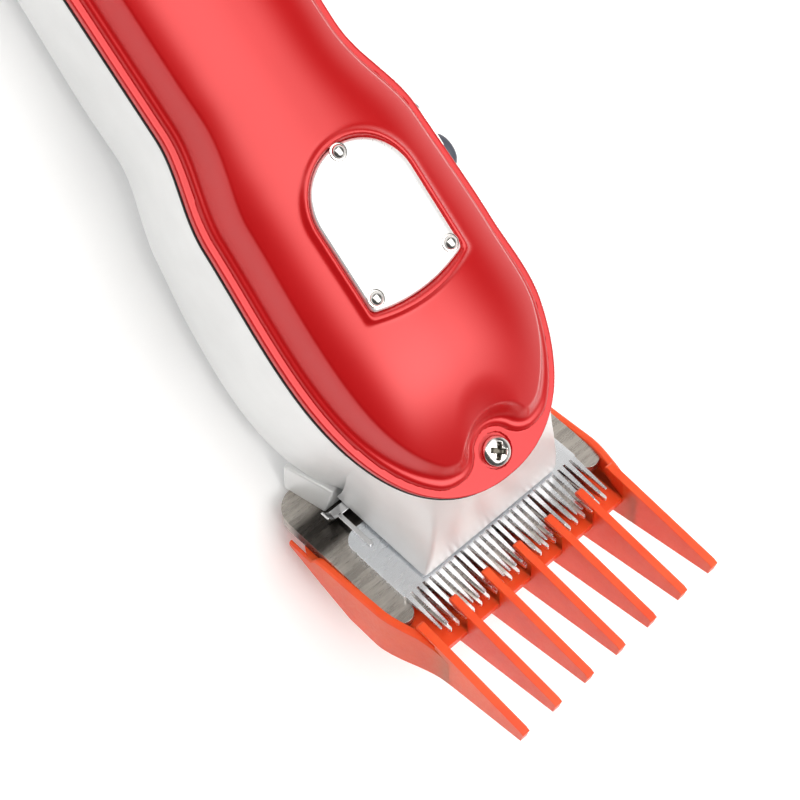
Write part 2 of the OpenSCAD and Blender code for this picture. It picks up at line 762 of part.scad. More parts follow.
module guide_comb() {
    half = comb_w / 2;
    color([0.93, 0.30, 0.14]) blade_frame() {
        for (i = [0 : comb_teeth - 1])
            side_profile(tooth_profile, (i - (comb_teeth - 1) / 2) * comb_pitch - comb_rib_t / 2,
                comb_rib_t);
        for (s = [0, 1])
            side_profile(wall_profile, s * (comb_w - comb_wall_t) - half, comb_wall_t);
        // floor under the fixed blade with rounded rear corners
        translate([0, 0, comb_floor_top - comb_floor_t]) linear_extrude(comb_floor_t) {
            translate([-half, -6.8]) square([comb_w, 28]);
            hull() for (s = [-1, 1]) translate([s * (half - 6), 21]) circle(r = 6);
        }
        // front web that joins the outer teeth to the walls
        for (s = [-1, 1])
            translate([s * (half - 1.6) - 1.6, -3.6, -26]) cube([3.2, 1.6, 6]);
        // spring tongue that presses on the heel
        translate([-6, 20, comb_floor_top - comb_floor_t]) cube([12, 11, comb_floor_t]);
    }
}

// ---- wiring ----
module terminal_block() {
    color([0.9, 0.9, 0.88]) body_frame() difference() {
        translate([-10, 92, -18]) cube([20, 10, 7]);
        for (s = [-1, 1]) {
            translate([s * terminal_x, 97, -16]) cylinder(r = 1.25 + run, h = 12);
            translate([s * terminal_x, 91, -14.5]) rotate([-90, 0, 0]) cylinder(r = 0.95, h = 12);
        }
    }
}

module terminal_screws() {
    color([0.8, 0.7, 0.4]) body_frame()
        for (s = [-1, 1]) translate([s * terminal_x, 97, -11]) slot_screw(1.9, 1.2, 1.25, 2.4);
}

// wire of eight sides along a route of points
module wire(route) {
    last = len(route) - 1;
    loft([for (k = [0 : last])
        let (
            d = route[min(k + 1, last)] - route[max(k - 1, 0)],
            t = d / norm(d),
            u = cross(t, [0, 0, 1]) / norm(cross(t, [0, 0, 1])),
            v = cross(u, t)
        )
        [for (i = [0 : 7]) route[k] + 0.85 * (cos(45 * i) * u + sin(45 * i) * v)]]);
}

module lead_wires() {
    live = [[terminal_x, 91.8, -14.5], [7.4, 88, -13], [10, 81, -9], [14, 72, -6], [15.5, 65, -6],
        [15.5, 59.1, -7]];
    neutral = [[-terminal_x, 91.8, -14.5], [-7.4, 88, -13], [-9.5, 78, -8], [-10, 69, -5], [-8.5, 62, -5],
        [-8.5, 57.7, -6]];
    color([0.15, 0.2, 0.45]) body_frame() {
        wire(live);
        wire(neutral);
    }
}

lower_housing();
top_cover();
badge_plate();
badge_rivets();
cover_front_screw();
cover_rear_screw();
cord_gland();
cord_clamp();
clamp_screws();
hanging_loop();
switch_slider();
switch_bezel();
switch_body();
power_screw();
spring_cup();
armature_spring_left();
armature_spring_right();
armature_arm();
armature_pole();
drive_finger();
stator_core();
coil_bobbin();
coil_winding();
stator_screws();
flexure_plate();
flexure_clamp();
fixed_blade();
cutter_blade();
cam_follower();
tension_spring();
taper_lever();
lever_shaft();
lever_screw();
lever_washer();
blade_screws();
guide_comb();
terminal_block();
terminal_screws();
lead_wires();
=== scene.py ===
"""Hair clipper: detailed cover, housing, badge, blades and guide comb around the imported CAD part.

Lengths are in millimetres in the body frame of the CAD part: x across, y back from the front of the
seam, z up from the seam plane. The blade frame is that frame tilted by BLADE_TILT.
"""

import json
from math import radians, sin, cos, pi

import bpy
import bmesh
import numpy as np
from mathutils import Matrix, Vector
from mathutils.kdtree import KDTree


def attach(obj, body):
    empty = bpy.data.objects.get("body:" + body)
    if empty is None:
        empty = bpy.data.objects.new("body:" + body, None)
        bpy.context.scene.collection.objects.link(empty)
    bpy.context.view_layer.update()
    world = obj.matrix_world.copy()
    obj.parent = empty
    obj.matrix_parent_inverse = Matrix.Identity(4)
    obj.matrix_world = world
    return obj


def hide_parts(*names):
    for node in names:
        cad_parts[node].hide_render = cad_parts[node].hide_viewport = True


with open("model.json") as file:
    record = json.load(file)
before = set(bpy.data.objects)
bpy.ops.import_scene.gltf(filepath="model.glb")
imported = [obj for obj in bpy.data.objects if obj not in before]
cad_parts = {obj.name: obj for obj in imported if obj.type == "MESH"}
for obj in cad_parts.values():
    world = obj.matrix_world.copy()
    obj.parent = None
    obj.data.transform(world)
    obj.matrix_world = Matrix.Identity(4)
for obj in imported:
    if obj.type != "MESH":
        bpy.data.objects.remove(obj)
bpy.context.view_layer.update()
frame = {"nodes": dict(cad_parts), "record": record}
scene = bpy.context.scene

# ---- dimensions, as in the CAD part, but with a slightly smaller badge ----
REST_TILT = radians(7.8)
BLADE_TILT = radians(42)
BELLY_DEPTH = 41.0
PLACE_Y = -55.79
PLACE_Z = BELLY_DEPTH * cos(REST_TILT)
BODY_W = 46.6
HANDLE_W = 38.0
BODY_LEN = 138.0
FRONT_LEN = 36.6
TAIL_START = 116.0
BELLY_R = 9.0
COVER_H = 12.2
RIM_H = 1.6
SEAM_GAP = 0.15
SCREW_Y = 4.9
REAR_SCREW_Y = 106.5
BADGE_HALF = 9.3
BADGE_FRONT = 37.0
BADGE_ARCH_Y = 51.7
BADGE_BOW = 1.6
BADGE_T = 0.9
RIVETS = [(-7.75, 38.6), (7.75, 38.6), (0.0, 60.0)]
BLADE_TOP = -20.3
FIXED_T = 2.6
# start of the painted shade on the fixed blade, just behind the tips of the teeth
CUTTER_SHADE_Y = -4.2
HEEL_Y = 33.4
CUTTER_T = 1.2
CUTTER_TOP = BLADE_TOP + CUTTER_T
NOSE_LEVEL = -18.3
NOSE_FRONT = 3.55
NOSE_REAR = 25.7
NOSE_HALF = 15.5
COMB_W = 51.2
COMB_PITCH = 7.45
COMB_REACH = 27.2
SPRING = (22.0, -14.0)
SWITCH_Y = 50.0
GLAND_Z = -10.5
SPRING_BORE_R = 4.1
GLAND_BORE_R = 5.2
SLOT_HALF = 3.8


# ---- frames ----
def to_row(points):
    """Body frame millimetres to the row frame in metres."""
    p = np.asarray(points, float).reshape(-1, 3)
    y = p[:, 1] * cos(REST_TILT) + p[:, 2] * sin(REST_TILT) + PLACE_Y
    z = -p[:, 1] * sin(REST_TILT) + p[:, 2] * cos(REST_TILT) + PLACE_Z
    return np.stack([p[:, 0], y, z], 1) / 1000


def from_blade(points):
    """Blade frame to body frame, both in millimetres."""
    p = np.asarray(points, float).reshape(-1, 3)
    y = p[:, 1] * cos(BLADE_TILT) + p[:, 2] * sin(BLADE_TILT)
    z = -p[:, 1] * sin(BLADE_TILT) + p[:, 2] * cos(BLADE_TILT)
    return np.stack([p[:, 0], y, z], 1)


# ---- outline functions, as in the CAD part apart from right_w ----
def ramp(a, b, v):
    t = np.clip((v - a) / (b - a), 0, 1)
    return t * t * (3 - 2 * t)


def front_k(y):
    return (1 - np.clip(1 - y / FRONT_LEN, 0, 1) ** 2.27) ** (1 / 2.27)


def tail_k(y):
    t = np.clip((y - TAIL_START) / (BODY_LEN - TAIL_START), 0, 1)
    return (1 - t ** 2.6) ** (1 / 2.6)


def half_w(y):
    mid = BODY_W / 2 - 0.9 * ramp(FRONT_LEN, 62, y)
    mid = mid - (BODY_W / 2 - 0.9 - HANDLE_W / 2) * ramp(58, 76, y)
    return mid * front_k(y) * tail_k(y)


def right_w(y):
    """Half width on the switch side, slimmer behind the shoulders than in the CAD part."""
    return half_w(y) - (1.5 * ramp(20, 36, y) + 0.9 * ramp(56, 72, y)) * tail_k(y)


def depth(y):
    waist = 2.6 * ramp(46, 64, y) * (1 - ramp(68, 88, y))
    return (BELLY_DEPTH - y * np.tan(REST_TILT) - waist) * (1 - 0.16 * (1 - tail_k(y) ** 1.5))


def crown(y):
    rise = COVER_H * (1 - np.clip(1 - y / 38, 0, 1) ** 2.2) - 1.6 * ramp(62, 82, y)
    t = np.clip((y - 108) / (BODY_LEN - 107), 0, 1)
    return rise * (1 - t ** 2.4) ** (1 / 2.4)


# ---- mesh helpers ----
def grid_faces(rows, cols, close_cols=False):
    faces = []
    last = cols if close_cols else cols - 1
    for i in range(rows - 1):
        for j in range(last):
            k = (j + 1) % cols
            faces.append((i * cols + j, i * cols + k, (i + 1) * cols + k, (i + 1) * cols + j))
    return faces


def build(name, points, faces, material, body, sharp=35, replaces=(), flip=False):
    """Mesh piece from body frame points, shaded smooth below the sharp angle."""
    mesh = bpy.data.meshes.new(name)
    if flip:
        faces = [tuple(reversed(f)) for f in faces]
    mesh.from_pydata([tuple(p) for p in to_row(points)], [], faces)
    mesh.update()
    mesh.shade_smooth()
    mesh.set_sharp_from_angle(angle=radians(sharp))
    mesh.materials.append(material)
    piece = bpy.data.objects.new(name, mesh)
    scene.collection.objects.link(piece)
    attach(piece, body)
    if replaces:
        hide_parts(*replaces)
    return piece


def add_bevel(piece, width, segments=2, angle=30):
    bevel = piece.modifiers.new("edge", "BEVEL")
    bevel.width = width / 1000
    bevel.segments = segments
    bevel.limit_method = "ANGLE"
    bevel.angle_limit = radians(angle)
    return piece


class Shape:
    """Points and faces collected from several solids."""

    def __init__(self):
        self.points = []
        self.faces = []

    def add(self, points, faces):
        base = len(self.points)
        self.points += [tuple(p) for p in points]
        self.faces += [tuple(base + i for i in f) for f in faces]
        return self

    def prism(self, ring_a, ring_b):
        """Solid between two rings with the same number of points."""
        n = len(ring_a)
        sides = [(i, (i + 1) % n, n + (i + 1) % n, n + i) for i in range(n)]
        return self.add(list(ring_a) + list(ring_b),
                        sides + [tuple(range(n - 1, -1, -1)), tuple(range(n, 2 * n))])


def lathe(profile, centre, segments=40):
    """Round solid about the body frame's z axis from (radius, height) pairs, closed at the top."""
    points = []
    for r, h in profile:
        for k in range(segments):
            a = 2 * pi * k / segments
            points.append((centre[0] + r * cos(a), centre[1] + r * sin(a), centre[2] + h))
    faces = grid_faces(len(profile), segments, close_cols=True)
    faces.append(tuple(range((len(profile) - 1) * segments, len(profile) * segments)))
    return points, faces


def smooth_min(a, b, soft):
    """The smaller of two values, rounded where they cross."""
    gap = np.clip(1 - np.abs(a - b) / soft, 0, 1)
    return np.minimum(a, b) - soft * gap * gap / 4


def nearest(curve, xy):
    """Distance from each point to a dense curve."""
    tree = KDTree(len(curve))
    for i, p in enumerate(curve):
        tree.insert((p[0], p[1], 0), i)
    tree.balance()
    return np.array([tree.find((p[0], p[1], 0))[2] for p in xy])


def resample(curve, step=0.05):
    """Points at an even step along an open curve."""
    curve = np.asarray(curve, float)
    length = np.concatenate([[0], np.cumsum(np.hypot(*np.diff(curve, axis=0).T))])
    at = np.arange(0, length[-1], step)
    return np.stack([np.interp(at, length, curve[:, 0]), np.interp(at, length, curve[:, 1])], 1)


# ---- materials ----
def combine(nodes, links, operation, a, b):
    """Maths node on two sockets or numbers."""
    node = nodes.new("ShaderNodeMath")
    node.operation = operation
    for socket, value in zip(node.inputs, (a, b)):
        if isinstance(value, (int, float)):
            socket.default_value = value
        else:
            links.new(value, socket)
    return node.outputs["Value"]


def new_material(name):
    material = bpy.data.materials.new(name)
    material.use_nodes = True
    nodes = material.node_tree.nodes
    return material, nodes, material.node_tree.links, nodes["Principled BSDF"]


def noise(nodes, links, scale, detail=4.0, rough=0.55, stretch=None):
    coords = nodes.new("ShaderNodeTexCoord")
    texture = nodes.new("ShaderNodeTexNoise")
    texture.inputs["Scale"].default_value = scale
    texture.inputs["Detail"].default_value = detail
    texture.inputs["Roughness"].default_value = rough
    source = coords.outputs["Object"]
    if stretch:
        mapping = nodes.new("ShaderNodeMapping")
        mapping.inputs["Scale"].default_value = stretch
        links.new(source, mapping.inputs["Vector"])
        source = mapping.outputs["Vector"]
    links.new(source, texture.inputs["Vector"])
    return texture.outputs["Fac"]


def color_ramp(nodes, links, fac, stops):
    node = nodes.new("ShaderNodeValToRGB")
    while len(node.color_ramp.elements) < len(stops):
        node.color_ramp.elements.new(0.5)
    for element, (position, color) in zip(node.color_ramp.elements, stops):
        element.position = position
        element.color = (*color, 1)
    links.new(fac, node.inputs["Fac"])
    return node.outputs["Color"]


def spread(nodes, links, fac, low, high, from_low=0.3, from_high=0.7):
    node = nodes.new("ShaderNodeMapRange")
    node.inputs["From Min"].default_value = from_low
    node.inputs["From Max"].default_value = from_high
    node.inputs["To Min"].default_value = low
    node.inputs["To Max"].default_value = high
    links.new(fac, node.inputs["Value"])
    return node.outputs["Result"]


def smooth_step(nodes, links, value, low, high, top=1.0):
    step = nodes.new("ShaderNodeMapRange")
    step.interpolation_type = "SMOOTHSTEP"
    step.inputs["From Min"].default_value = low
    step.inputs["From Max"].default_value = high
    step.inputs["To Max"].default_value = top
    links.new(value, step.inputs["Value"])
    return step.outputs["Result"]


def mix_color(nodes, links, factor, first, second):
    mix = nodes.new("ShaderNodeMix")
    mix.data_type = "RGBA"
    links.new(factor, mix.inputs["Factor"])
    links.new(first, mix.inputs[6])
    links.new(second, mix.inputs[7])
    return mix.outputs[2]


def add_bump(nodes, links, shader, height, strength, distance):
    bump = nodes.new("ShaderNodeBump")
    bump.inputs["Strength"].default_value = strength
    bump.inputs["Distance"].default_value = distance
    links.new(height, bump.inputs["Height"])
    links.new(bump.outputs["Normal"], shader.inputs["Normal"])


def metal(name, low, high, rough, grain=900, stretch=None, bump=0.3, metallic=1.0):
    """Metal with a broad variation of colour and a fine grain in its gloss and surface."""
    material, nodes, links, shader = new_material(name)
    fine = noise(nodes, links, grain, 6, 0.6, stretch)
    broad = noise(nodes, links, 60, 3)
    links.new(color_ramp(nodes, links, broad, [(0.3, low), (0.7, high)]), shader.inputs["Base Color"])
    shader.inputs["Metallic"].default_value = metallic
    links.new(spread(nodes, links, fine, rough[0], rough[1]), shader.inputs["Roughness"])
    add_bump(nodes, links, shader, fine, bump, 0.00003)
    return material


def blade_steel():
    """Scratched steel, bright at the teeth, with painted shade behind them where the cutter covers the
    blade, and a dark band of painted shadow on the heel.
    """
    material, nodes, links, shader = new_material("blade_steel")
    coords = nodes.new("ShaderNodeTexCoord")
    along = nodes.new("ShaderNodeVectorMath")
    along.operation = "DOT_PRODUCT"
    slope = BLADE_TILT + REST_TILT
    along.inputs[1].default_value = (0, cos(slope), -sin(slope))
    links.new(coords.outputs["Object"], along.inputs[0])
    back = along.outputs["Value"]
    # distances are in metres, back from a line just behind the tips of the teeth
    line = to_row(from_blade([(0, CUTTER_SHADE_Y, BLADE_TOP)]))[0]
    start = line[1] * cos(slope) - line[2] * sin(slope)
    # painted shade: behind this line the steel turns darker and browner, where the cutter shades the fixed
    # blade
    cutter_shade_fade = spread(nodes, links, back, 0, 1, start - 0.0008, start + 0.0004)
    # painted shadow: a near-black band across the heel, where the recess behind the cutter lies in shade
    heel_shadow_start = smooth_step(nodes, links, back, start + 0.0225, start + 0.0250)
    heel_shadow_end = smooth_step(nodes, links, back, start + 0.0330, start + 0.0300)
    grain = noise(nodes, links, 260, 6, 0.7, (0.4, 3, 3))
    bare_steel = color_ramp(nodes, links, grain, [(0.3, (0.84, 0.83, 0.82)), (0.7, (0.93, 0.92, 0.91))])
    cutter_shade = color_ramp(nodes, links, grain, [(0.35, (0.36, 0.33, 0.30)), (0.65, (0.60, 0.56, 0.51))])
    heel_shadow = color_ramp(nodes, links, grain, [(0.3, (0.03, 0.028, 0.026)), (0.7, (0.10, 0.09, 0.08))])
    shaded_steel = mix_color(nodes, links, cutter_shade_fade, bare_steel, cutter_shade)
    heel_shadow_mask = combine(nodes, links, "MULTIPLY", heel_shadow_start, heel_shadow_end)
    links.new(mix_color(nodes, links, heel_shadow_mask, shaded_steel, heel_shadow), shader.inputs["Base Color"])
    shader.inputs["Metallic"].default_value = 1.0
    links.new(spread(nodes, links, grain, 0.22, 0.34), shader.inputs["Roughness"])
    add_bump(nodes, links, shader, grain, 0.1, 0.00003)
    return material


def plastic(name, low, high, rough, grain=1200, bump=0.08, coat=0.0):
    material, nodes, links, shader = new_material(name)
    fine = noise(nodes, links, grain, 5)
    broad = noise(nodes, links, 90, 3)
    links.new(color_ramp(nodes, links, broad, [(0.3, low), (0.7, high)]), shader.inputs["Base Color"])
    links.new(spread(nodes, links, fine, rough[0], rough[1]), shader.inputs["Roughness"])
    shader.inputs["Coat Weight"].default_value = coat
    add_bump(nodes, links, shader, fine, bump, 0.00005)
    return material


def cover_enamel():
    """Metallic red enamel under a clear coat, with a faint orange peel."""
    material, nodes, links, shader = new_material("cover_enamel")
    flake = noise(nodes, links, 2600, 2, 0.7)
    broad = noise(nodes, links, 35, 3)
    base = color_ramp(nodes, links, broad, [(0.3, (0.58, 0.003, 0.005)), (0.7, (0.63, 0.004, 0.007))])
    links.new(base, shader.inputs["Base Color"])
    shader.inputs["Metallic"].default_value = 0.3
    links.new(spread(nodes, links, flake, 0.30, 0.38), shader.inputs["Roughness"])
    shader.inputs["Specular IOR Level"].default_value = 0.12
    shader.inputs["Coat Weight"].default_value = 1.0
    shader.inputs["Coat Roughness"].default_value = 0.26
    shader.inputs["Coat IOR"].default_value = 1.52
    peel = noise(nodes, links, 420, 3, 0.5)
    add_bump(nodes, links, shader, peel, 0.2, 0.00002)
    return material


def comb_plastic():
    """Translucent orange-red plastic."""
    material, nodes, links, shader = new_material("comb_plastic")
    broad = noise(nodes, links, 120, 3)
    body = color_ramp(nodes, links, broad, [(0.3, (0.84, 0.080, 0.018)), (0.7, (0.92, 0.110, 0.026))])
    links.new(body, shader.inputs["Base Color"])
    fine = noise(nodes, links, 1500, 4)
    links.new(spread(nodes, links, fine, 0.30, 0.42), shader.inputs["Roughness"])
    shader.inputs["Specular IOR Level"].default_value = 0.3
    shader.inputs["Subsurface Weight"].default_value = 0.5
    shader.inputs["Subsurface Radius"].default_value = (1.0, 0.25, 0.08)
    shader.inputs["Subsurface Scale"].default_value = 0.0015
    add_bump(nodes, links, shader, noise(nodes, links, 300, 3), 0.2, 0.00003)
    return material


def floor_paint():
    material, nodes, links, shader = new_material("floor_paint")
    broad = noise(nodes, links, 3, 2)
    links.new(color_ramp(nodes, links, broad, [(0.3, (0.93, 0.94, 0.95)), (0.7, (0.95, 0.96, 0.97))]),
              shader.inputs["Base Color"])
    shader.inputs["Roughness"].default_value = 0.6
    shader.inputs["Emission Color"].default_value = (1, 0.985, 0.98, 1)
    shader.inputs["Emission Strength"].default_value = 0.14
    return material


ENAMEL = cover_enamel()
ALLOY = metal("housing_alloy", (0.82, 0.83, 0.83), (0.89, 0.90, 0.90), (0.36, 0.44), 1600,
              metallic=0.4)
BADGE = metal("badge_metal", (0.90, 0.90, 0.91), (0.95, 0.95, 0.95), (0.26, 0.32), 1500, metallic=0.6)
CHROME = metal("chrome_hardware", (0.78, 0.77, 0.75), (0.86, 0.85, 0.83), (0.12, 0.20), 800)
BLADE = blade_steel()
CUTTER = metal("cutter_steel", (0.80, 0.83, 0.87), (0.90, 0.92, 0.95), (0.20, 0.30), 1100,
               (0.3, 2, 2), 0.1)
# painted shade: dark steel for the floor of the front screw's cross recess
RECESS_SHADE = metal("recess_painted_shade", (0.10, 0.095, 0.08), (0.20, 0.19, 0.16), (0.35, 0.5), 900)
WIRE_STEEL = metal("spring_steel", (0.70, 0.70, 0.71), (0.82, 0.82, 0.83), (0.14, 0.24), 900)
LAMINATION = metal("lamination_steel", (0.20, 0.20, 0.22), (0.30, 0.30, 0.32), (0.4, 0.55), 1500,
                   (1, 1, 12), 0.3)
COPPER = metal("copper_winding", (0.62, 0.24, 0.09), (0.74, 0.32, 0.13), (0.28, 0.42), 1800,
               (1, 1, 10), 0.4)
BRASS = metal("brass_hardware", (0.66, 0.47, 0.18), (0.78, 0.58, 0.25), (0.2, 0.32), 1000)
NYLON = plastic("nylon", (0.84, 0.82, 0.75), (0.90, 0.89, 0.84), (0.4, 0.55))
SWITCH = plastic("switch_plastic", (0.055, 0.06, 0.085), (0.08, 0.09, 0.12), (0.35, 0.5))
BLACK = plastic("black_plastic", (0.012, 0.012, 0.013), (0.022, 0.022, 0.023), (0.42, 0.58))
RUBBER = plastic("gland_rubber", (0.010, 0.010, 0.011), (0.018, 0.018, 0.019), (0.6, 0.75), 900, 0.2)
SHEATH = plastic("wire_sheath", (0.03, 0.06, 0.26), (0.05, 0.09, 0.34), (0.3, 0.4))
COMB = comb_plastic()

NODE_MATERIALS = {
    "cover_rear_screw": CHROME, "cord_gland": RUBBER, "cord_clamp": NYLON, "clamp_screws": CHROME,
    "hanging_loop": CHROME, "switch_slider": SWITCH, "switch_bezel": CHROME, "switch_body": BLACK,
    "power_screw": CHROME, "spring_cup": BRASS, "armature_spring_left": WIRE_STEEL,
    "armature_spring_right": WIRE_STEEL, "armature_arm": BLADE, "armature_pole": LAMINATION,
    "drive_finger": NYLON, "stator_core": LAMINATION, "coil_bobbin": NYLON, "coil_winding": COPPER,
    "stator_screws": CHROME, "flexure_plate": WIRE_STEEL, "flexure_clamp": BLADE, "cam_follower": NYLON,
    "tension_spring": WIRE_STEEL, "taper_lever": CHROME, "lever_shaft": CHROME, "lever_screw": CHROME,
    "lever_washer": BRASS, "blade_screws": CHROME, "terminal_block": NYLON, "terminal_screws": BRASS,
    "lead_wires": SHEATH, "fixed_blade": BLADE, "cutter_blade": CUTTER, "guide_comb": COMB,
    "lower_housing": ALLOY, "top_cover": ENAMEL, "badge_plate": BADGE, "badge_rivets": CHROME,
    "cover_front_screw": CHROME,
}
for name, material in NODE_MATERIALS.items():
    node = frame["nodes"][name]
    node.data.materials.clear()
    node.data.materials.append(material)


# ---- cover ----
POCKET_R = 4.1
SHOULDER = (8.2, 9.6)
SHOULDER_R = 5.35
FLANGE = 1.3
BEAD_H = 1.0
DOME_BACK = 0.26
SCOOP_R = 5.0
SCOOP_SLOPE = 0.62
LIP_H = 0.5
FRONT_SPOT = (3.1, 1.1)
REAR_SPOT = (3.2, 5.0)
BADGE_ARC_R = (BADGE_HALF ** 2 + BADGE_BOW ** 2) / (2 * BADGE_BOW)


def seam_curve():
    y = np.concatenate([FRONT_LEN * np.linspace(0, 1, 400) ** 2.4,
                        np.linspace(FRONT_LEN, TAIL_START, 500)[1:],
                        BODY_LEN - (BODY_LEN - TAIL_START) * np.linspace(1, 0, 300)[1:] ** 2])
    right = np.stack([right_w(y), y], 1)
    left = np.stack([-half_w(y), y], 1)[::-1]
    return resample(np.concatenate([left, right]))


def foot_y(x):
    """Front edge of the dome's foot: an S-curve from the screw pocket into each shoulder, then straight."""
    x = np.abs(x)
    joint = POCKET_R * SHOULDER[0] / (POCKET_R + SHOULDER_R)
    pocket = SCREW_Y + np.sqrt(np.clip(POCKET_R ** 2 - x ** 2, 0, None))
    reach = np.clip(SHOULDER_R ** 2 - (x - SHOULDER[0]) ** 2, 0, None)
    shoulder = SHOULDER[1] - np.sqrt(reach)
    level = SHOULDER[1] - SHOULDER_R
    return np.where(x < joint, pocket, np.where(x < SHOULDER[0], shoulder, level))


def badge_sdf(x, y):
    """Distance outside the tombstone outline of the badge, negative inside."""
    sides = np.where(y > BADGE_ARCH_Y, np.hypot(x, y - BADGE_ARCH_Y), np.abs(x)) - BADGE_HALF
    front = np.hypot(x, y - (BADGE_FRONT - BADGE_BOW + BADGE_ARC_R)) - BADGE_ARC_R
    return -smooth_min(-sides, -front, 0.8)


def cover_height(x, y):
    """Top surface of the cover above its own base. A spot face is given as (radius, height)."""
    xy = np.stack([x, y], 1)
    rim = seam_curve()
    edge = nearest(rim, xy)
    across = np.linspace(-24, 24, 1200)
    foot = resample(np.stack([across, foot_y(across)], 1))
    front = nearest(foot, xy) * np.where(y > foot_y(x), 1, -1)
    e = smooth_min(front, edge - FLANGE, 1.6)
    e = np.clip(e, 0, None)
    s = np.abs(x) / np.maximum(np.where(x > 0, right_w(y), half_w(y)), 0.01)
    top = np.maximum(crown(y), RIM_H + 0.1)
    dome = RIM_H + (top - RIM_H) * (1 - np.clip(s, 0, 1) ** 2.5) ** 0.6
    r = np.hypot(x, y - SCREW_Y)
    scoop = SCOOP_R + (r - SCOOP_R) * SCOOP_SLOPE
    target = smooth_min(dome, scoop, 1.2)
    bead_w = 0.95 + 0.5 * (1 - ramp(8, 22, y))
    bead = BEAD_H * np.sqrt(1 - (1 - np.clip(e / bead_w, 0, 1)) ** 2)
    wall = ramp(0, 1, np.clip((e - 0.7 * bead_w) / 3.0, 0, 1))
    z = RIM_H + bead + np.maximum(target - RIM_H - BEAD_H, 0) * wall
    # softened outer edge of the flange
    turn = 0.3
    z = z - turn + np.sqrt(np.clip(turn ** 2 - np.clip(turn - edge, 0, turn) ** 2, 0, None))
    # raised lip round the badge and the badge's pocket
    b = badge_sdf(x, y)
    z = z + LIP_H * np.exp(-(((b - 0.95) / 0.62) ** 2))
    pocket = COVER_H - BADGE_T - 0.45
    z = pocket + (z - pocket) * ramp(-0.1, 0.45, b)
    # spot faces of the screws
    z = np.where(r < FRONT_SPOT[0], np.minimum(z, FRONT_SPOT[1]), z)
    rear = np.hypot(x, y - REAR_SCREW_Y)
    return np.where(rear < REAR_SPOT[0], np.minimum(z, REAR_SPOT[1]), z)


def draw_in(x, y, inset):
    """Moves points of the outline inwards by about inset."""
    width = np.maximum(half_w(y), 1.0)
    y = y + inset * (1 - ramp(0, 9, y)) - inset * ramp(129, 138, y)
    return x * (1 - inset / np.maximum(width, 4)), y


def make_seam_shade_strip():
    """Dark strip in the joint between the cover and the housing, painted shade for the groove between them.
    """
    rim = seam_curve()[::4]
    rings = []
    for inset, level in ((0.04, -0.12), (0.04, 0.16), (0.9, 0.16), (0.9, -0.12)):
        x, y = draw_in(rim[:, 0], rim[:, 1], inset)
        rings.append(np.stack([x, y, np.full_like(x, level)], 1))
    rings.append(rings[0])
    # painted shade: a strip in the black rubber material stands in for the shadow in the groove of the seam
    build("seam_shade_strip", np.concatenate(rings), grid_faces(5, len(rim)), RUBBER,
          "housing", 40)


def make_cover():
    rows = np.concatenate([
        0.02 + 20 * np.linspace(0, 1, 140) ** 1.15,
        np.linspace(20, 66, 170)[1:],
        np.linspace(66, TAIL_START, 60)[1:],
        BODY_LEN - (BODY_LEN - TAIL_START) * np.linspace(1, 0, 40)[1:] ** 1.7 - 0.03,
    ])
    cols = 221
    s = np.linspace(-1, 1, cols)
    y = np.repeat(rows, cols)
    s = np.tile(s, len(rows))
    x = s * np.where(s > 0, right_w(y), half_w(y))
    z = cover_height(x, y)
    x, y = draw_in(x, y, DOME_BACK)
    points = np.stack([x, y, z + SEAM_GAP], 1)
    faces = grid_faces(len(rows), cols)
    # rim: down to the seam and inwards
    ring = [i * cols for i in range(len(rows) - 1, 0, -1)] + list(range(0, cols))
    ring += [i * cols + cols - 1 for i in range(1, len(rows))]
    base = len(points)
    rim = points[ring]
    chamfer, gap = 0.1, 0.12
    inward = np.stack([rim[:, 0] * 0.94, SCREW_Y + (rim[:, 1] - SCREW_Y) * 0.97, rim[:, 2]], 1)
    levels = []
    foot = SEAM_GAP + gap
    for source, level in ((rim, foot + chamfer), (rim, foot), (inward, foot)):
        ring_points = source.copy()
        ring_points[:, 2] = level
        levels.append(ring_points)
    n = len(ring)
    points = np.concatenate([points] + levels)
    previous = ring
    for k in range(len(levels)):
        current = [base + k * n + i for i in range(n)]
        for i in range(n - 1):
            faces.append((previous[i + 1], previous[i], current[i], current[i + 1]))
        previous = current
    build("cover", points, faces, ENAMEL, "housing", 50, ("top_cover",))


make_cover()
make_seam_shade_strip()


# ---- badge ----
def badge_ring(inset, level, count=240):
    """Ring of the badge outline drawn in by inset, at a level of the body frame."""
    centre_y = 49.0
    points = []
    for k in range(count):
        a = 2 * pi * k / count
        low, high = 0.0, 20.0
        for _ in range(30):
            mid = (low + high) / 2
            inside = badge_sdf(np.array([mid * cos(a)]), np.array([centre_y + mid * sin(a)]))[0] < -inset
            low, high = (mid, high) if inside else (low, mid)
        points.append((low * cos(a), centre_y + low * sin(a), level))
    return points


def make_badge():
    top = SEAM_GAP + COVER_H - 0.2
    # (inset, drop): side wall, rounded edge, then rings over the flat face
    steps = [(0.02, -BADGE_T), (0.02, -0.30), (0.10, -0.20), (0.34, -0.03), (0.44, 0.0),
             (1.5, 0.0), (3.0, 0.0), (6.0, 0.0), (8.4, 0.0)]
    points = []
    for inset, drop in steps:
        points += badge_ring(inset, top + drop)
    count = 240
    faces = grid_faces(len(steps), count, close_cols=True)
    faces.append(tuple(range((len(steps) - 1) * count, len(steps) * count)))
    build("badge", points, faces, BADGE, "housing", 40, ("badge_plate",))
    shape = Shape()
    profile = [(1.5, 0.0), (1.5, 0.08), (1.42, 0.16), (1.2, 0.18)]
    profile += [(1.15 * cos(a), 0.18 + 0.8 * sin(a)) for a in np.linspace(0, pi / 2 * 0.98, 12)]
    for x, y in RIVETS:
        shape.add(*lathe(profile, (x, y, top)))
    build("badge_rivet_heads", shape.points, shape.faces, CHROME, "housing", 60,
          ("badge_rivets",))


make_badge()


